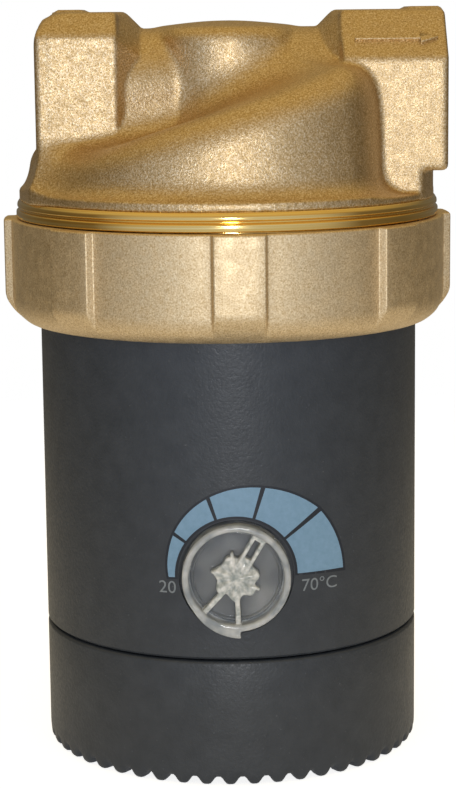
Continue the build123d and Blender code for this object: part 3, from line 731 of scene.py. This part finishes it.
# ---------------------------------------------------------------- end cap
def serrated_cap():
    """End cap with rounded teeth round its lower edge."""
    per_tooth = 12
    turns = np.linspace(0, 2 * math.pi, TOOTH_COUNT * per_tooth, endpoint=False)
    angle = np.radians(FRONT_TOOTH_DEG) + turns
    turn = TOOTH_COUNT * (angle - math.radians(FRONT_TOOTH_DEG))
    valley = TOOTH_HEIGHT * (1 - np.clip(0.5 + 0.75 * np.cos(turn), 0, 1) ** 0.7)
    top, bottom = CAP_TOP, TOOTH_HEIGHT
    outline = [
        (0.2, bottom, 0), (33.2, bottom, 0), (33.7, bottom, 0.15), (34.3, 0.25, 0.8), (34.8, 0.0, 1),
        (36.6, 0.0, 1), (37.2, 0.12, 1), (37.65, 0.5, 1), (BODY_R - 0.1, 1.1, 0.9),
        (BODY_R - 0.02, 2.0, 0.45),
        (BODY_R, 3.4, 0), (BODY_R, 14.0, 0), (BODY_R, top - 0.7, 0), (BODY_R - 0.12, top - 0.25, 0),
        (BODY_R - 0.5, top, 0), (CAP_BORE_R + 0.1, top, 0),
        (CAP_BORE_R, top - 0.2, 0), (CAP_BORE_R, 4.4, 0),
        (CAP_BORE_R - 0.5, 3.9, 0),
        (0.2, 3.9, 0),
    ]
    rows = [np.stack([r * np.cos(angle), r * np.sin(angle), z + share * valley], -1)
            for r, z, share in outline]
    faces = grid_faces(len(rows), len(angle), close_rows=True, close_columns=True)[:, ::-1]
    cap = mesh_piece("serrated_cap", np.concatenate(rows), faces, "cap",
                     [MATERIALS["black_plastic"]])
    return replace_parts(cap, "end_cap")


# ---------------------------------------------------------------- thermostat dial
def knob_arm(a, h, degrees, half, start, end, offset=0.0):
    """Flat distance to a straight rib that leaves the knob's centre at an angle."""
    c, s = math.cos(math.radians(degrees)), math.sin(math.radians(degrees))
    along, across = a * c + h * s, h * c - a * s - offset
    return np.maximum(np.abs(across) - half, np.maximum(start - along, along - end))


def knob_field(x, y, z):
    """The knob: rim, disc, inner ring, pointer and ribs, carved hub, and finger tab."""
    a, h = x - DIAL_X, z - DIAL_Z
    radius = np.hypot(a, h)
    degrees = np.degrees(np.arctan2(h, a)) % 360
    front, back = KNOB_Y

    def between(shape, y0, y1, rounding=0.5):
        """The part of a flat shape between two depths."""
        return smooth_cut(shape, np.maximum(y0 - y, y - y1), rounding)

    rim = np.abs(radius - (KNOB_R + KNOB_INNER_R) / 2) - (KNOB_R - KNOB_INNER_R) / 2
    inner_ring = np.abs(radius - 8.5) - 0.25
    knob = between(rim, front, back, 0.7)
    knob = smooth_union(knob, between(radius - KNOB_R + 0.3, KNOB_WEB_Y, back), 0.5)
    knob = smooth_union(knob, between(inner_ring, KNOB_WEB_Y - 0.7, KNOB_WEB_Y + 0.5, 0.3), 0.3)
    ribs = np.minimum(knob_arm(a, h, POINTER_DEG, 0.38, 2.0, 9.4, 1.0),
                      knob_arm(a, h, POINTER_DEG, 0.38, 2.0, 9.4, -1.0))
    ribs = np.minimum(ribs, knob_arm(a, h, POINTER_DEG, 1.4, 8.2, 9.4))
    for angle in RIB_DEGREES:
        ribs = np.minimum(ribs, knob_arm(a, h, angle, 0.5, 2.0, 9.5))
    for angle in SPUR_DEGREES:
        ribs = np.minimum(ribs, knob_arm(a, h, angle, 0.3, 3.0, 5.0))
    knob = smooth_union(knob, between(ribs, front + 0.6, KNOB_WEB_Y + 0.5, 0.4), 0.4)
    star = radius - 4.1 - 0.35 * np.cos(np.radians(degrees - 8) * 7)
    hub = between(star, front + 0.35, KNOB_WEB_Y + 0.5, 0.5)
    carved = 0.35 + (0.5 - 0.5 * np.cos(np.radians(degrees - 8) * 7)) * np.clip(radius / 3.5, 0, 1)
    hub = smooth_cut(hub, front + carved - y, 0.2)
    knob = smooth_union(knob, hub, 0.4)
    start, end = TAB_DEG
    swell = KNOB_R - 0.3 + (TAB_R - KNOB_R + 0.3) * np.clip((degrees - start) / (end - start), 0, 1) ** 0.8
    tab = np.maximum(radius - swell, KNOB_INNER_R - radius)
    tab = np.maximum(tab, np.maximum(start - degrees, degrees - end) * 0.18)
    return smooth_union(knob, between(tab, front, -38.5, 0.4), 0.3)


def clear_knob():
    """The knob's mesh: clear disc, an edge given a brighter copy of the plastic as painted highlight, and
    relief with painted glints.
    """
    points, quads = sampled(knob_field, (DIAL_X - KNOB_REACH, KNOB_SAMPLED_Y[0], DIAL_Z - KNOB_REACH),
                            (DIAL_X + KNOB_REACH, KNOB_SAMPLED_Y[1], DIAL_Z + KNOB_REACH), KNOB_STEP)
    centre = points[quads].mean(1)
    raised = centre[:, 1] < KNOB_WEB_Y - 0.85
    outer = np.hypot(centre[:, 0] - DIAL_X, centre[:, 2] - DIAL_Z) > KNOB_INNER_R - 0.2
    # Slot 1 puts the painted-highlight copy on the edge, and slot 2 puts the painted-glint copy on the raised
    # relief.
    painted_light_slot = np.where(outer, 1, np.where(raised, 2, 0))
    knob = mesh_piece("clear_knob", points, quads, "knob",
                      [MATERIALS["clear_plastic"], KNOB_EDGE_PAINTED_BRIGHT, KNOB_RIBS_PAINTED_GLINTS], painted_light_slot)
    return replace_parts(knob, "thermostat_knob")


def wrapped(flat, lift):
    """Points (across, up) from the dial's centre laid on the motor shell, lifted off it."""
    flat = np.asarray(flat, float)
    x = DIAL_X + flat[:, 0]
    return np.stack([x, -np.sqrt((BODY_R + lift) ** 2 - x ** 2), DIAL_Z + flat[:, 1]], -1)


def scale_segment(name, start, end, inner, grow, lift, material):
    """One printed field of the temperature scale, between two angles in degrees."""
    knots = np.array(SCALE_OUTER[::-1])
    angles = np.linspace(start, end, 25)
    outer = np.interp(angles, knots[:, 0], knots[:, 1]) + grow
    radii = inner + (outer[:, None] - inner) * np.linspace(0, 1, 5)
    turn = np.radians(angles)[:, None]
    flat = np.stack([radii * np.cos(turn), radii * np.sin(turn)], -1).reshape(-1, 2)
    faces = grid_faces(len(angles), 5)
    return mesh_piece(name, wrapped(flat, lift), faces, "motor_head", [material])


def dial_text(name, words, centre, height):
    """Generic number of the scale, printed on the motor shell."""
    curve = bpy.data.curves.new(name + "_outline", "FONT")
    curve.body = words
    curve.size = 1.0
    curve.align_x = curve.align_y = "CENTER"
    holder = bpy.data.objects.new(name + "_outline", curve)
    bpy.context.scene.collection.objects.link(holder)
    bpy.context.view_layer.update()
    mesh = bpy.data.meshes.new_from_object(holder)
    bpy.data.objects.remove(holder)
    flat = np.array([v.co[:2] for v in mesh.vertices])
    flat = (flat - (flat.min(0) + flat.max(0)) / 2) * height / np.ptp(flat[:, 1]) + centre
    faces = [tuple(p.vertices) for p in mesh.polygons]
    return mesh_piece(name, wrapped(flat, 0.05), faces, "motor_head", [PRINT_GREY])


def printed_scale():
    """Blue fields with dark borders between the scale's gaps, and the two numbers."""
    for number, (end, start) in enumerate(zip(SCALE_GAPS, SCALE_GAPS[1:]), 1):
        scale_segment("scale_border_%d" % number, start - 0.4, end + 0.4,
                      SCALE_INNER_R - 0.5, 0.45, 0.02, PRINT_NAVY)
        scale_segment("scale_field_%d" % number, start + 1.4, end - 1.4,
                      SCALE_INNER_R, 0.0, 0.04, PRINT_BLUE)
    dial_text("scale_20", "20", (-13.2, -2.3), 2.4)
    dial_text("scale_70", "70\u00b0C", (16.0, -2.4), 2.5)


# ---------------------------------------------------------------- CAD nodes that stay
def dress_cad_nodes():
    """Gives every CAD node the material of its slot."""
    for entry in frame["record"]["subparts"]:
        node = frame["nodes"][entry["node"]]
        node.data.materials.clear()
        node.data.materials.append(MATERIALS[entry["material_slot"]])


# ---------------------------------------------------------------- stage, light and camera
def studio():
    """Pale floor, one lamp, and a surround that lights from the front and looks white to the camera."""
    around = 64
    angle = np.linspace(0, 2 * math.pi, around, endpoint=False)
    points = [(r * math.cos(a), r * math.sin(a), FLOOR_Z) for r in FLOOR_RADII for a in angle]
    faces = [tuple(f) for f in grid_faces(len(FLOOR_RADII), around, close_columns=True)]
    floor_mesh = bpy.data.meshes.new("floor")
    floor_mesh.from_pydata(points, [], faces)
    floor = bpy.data.objects.new("floor", floor_mesh)
    bpy.context.scene.collection.objects.link(floor)
    floor_mesh.materials.append(floor_paper())
    bpy.context.scene.view_settings.view_transform = "Standard"

    world = bpy.data.worlds.new("studio")
    bpy.context.scene.world = world
    world.use_nodes = True
    tree = world.node_tree
    background = tree.nodes["Background"]
    direction = tree.nodes.new("ShaderNodeTexCoord")
    parts = tree.nodes.new("ShaderNodeSeparateXYZ")
    tree.links.new(direction.outputs["Generated"], parts.inputs["Vector"])
    depth = spread(tree, parts.outputs["Y"], 0.0, 1.0, -1.0, 1.0)
    height = spread(tree, parts.outputs["Z"], 0.0, 1.0, 0.25, 0.85)
    level = ramp(tree, depth, SURROUND_FRONT_TO_BACK)
    surround = tree.nodes.new("ShaderNodeMix")
    surround.data_type = "RGBA"
    surround.inputs["B"].default_value = (*OVERHEAD, 1.0)
    tree.links.new(height, surround.inputs["Factor"])
    tree.links.new(level, surround.inputs["A"])
    path = tree.nodes.new("ShaderNodeLightPath")
    seen = tree.nodes.new("ShaderNodeMix")
    seen.data_type = "RGBA"
    seen.inputs["B"].default_value = (1.0, 1.0, 1.0, 1.0)
    tree.links.new(path.outputs["Is Camera Ray"], seen.inputs["Factor"])
    tree.links.new(surround.outputs["Result"], seen.inputs["A"])
    tree.links.new(seen.outputs["Result"], background.inputs["Color"])
    background.inputs["Strength"].default_value = 1.0
    area_light("key", LAMP_PLACE, LAMP_TARGET, LAMP_SIZE, LAMP_POWER)


def floor_paper():
    """White paper that lets the surround show through towards its edge."""
    material, tree, shader = new_material("floor_paper")
    shade = ramp(tree, noise(tree, 30, 2.0), [(0.3, (0.86, 0.86, 0.86)), (0.7, (0.88, 0.88, 0.88))])
    tree.links.new(shade, shader.inputs["Base Color"])
    shader.inputs["Roughness"].default_value = 0.9
    shader.inputs["Emission Color"].default_value = (1.0, 1.0, 1.0, 1.0)
    path = tree.nodes.new("ShaderNodeLightPath")
    glow = spread(tree, path.outputs["Is Camera Ray"], 0.22, 0.82, 0.0, 1.0)
    tree.links.new(glow, shader.inputs["Emission Strength"])
    coordinates = tree.nodes.new("ShaderNodeTexCoord")
    length = tree.nodes.new("ShaderNodeVectorMath")
    length.operation = "LENGTH"
    tree.links.new(coordinates.outputs["Object"], length.inputs[0])
    tree.links.new(spread(tree, length.outputs["Value"], 1.0, 0.0, 0.08, 0.42), shader.inputs["Alpha"])
    return material


def area_light(name, place, target, size, power):
    """Round lamp at a place, aimed at a target."""
    data = bpy.data.lights.new(name, "AREA")
    data.shape = "DISK"
    data.size = size
    data.energy = power
    light = bpy.data.objects.new(name, data)
    light.location = place
    light.rotation_euler = (Vector(target) - Vector(place)).to_track_quat("-Z", "Y").to_euler()
    bpy.context.scene.collection.objects.link(light)


def add_camera():
    """Camera in front of the object, looking slightly down and rolled a little."""
    pitch, roll = math.radians(CAMERA_PITCH_DEG), math.radians(CAMERA_ROLL_DEG)
    right = Vector((1, 0, 0))
    up = Vector((0, math.sin(pitch), math.cos(pitch)))
    back = Vector((0, -math.cos(pitch), math.sin(pitch)))
    rolled_right = right * math.cos(roll) - up * math.sin(roll)
    rolled_up = right * math.sin(roll) + up * math.cos(roll)
    place = Vector(CAMERA_PLACE) * MM
    data = bpy.data.cameras.new("camera")
    data.sensor_width = SENSOR_WIDTH
    data.lens = CAMERA_LENS
    camera = bpy.data.objects.new("camera", data)
    turn = Matrix((rolled_right, rolled_up, back)).transposed().to_4x4()
    camera.matrix_world = Matrix.Translation(place) @ turn
    bpy.context.scene.collection.objects.link(camera)
    bpy.context.scene.camera = camera


dress_cad_nodes()
pump_casting()
flow_arrow()
port_thread("inlet_thread", INLET_X[0], 1)
port_thread("outlet_thread", OUTLET_X[1], -1)
machined_rim()
spigot()
union_ring()
serrated_cap()
clear_knob()
printed_scale()
studio()
add_camera()
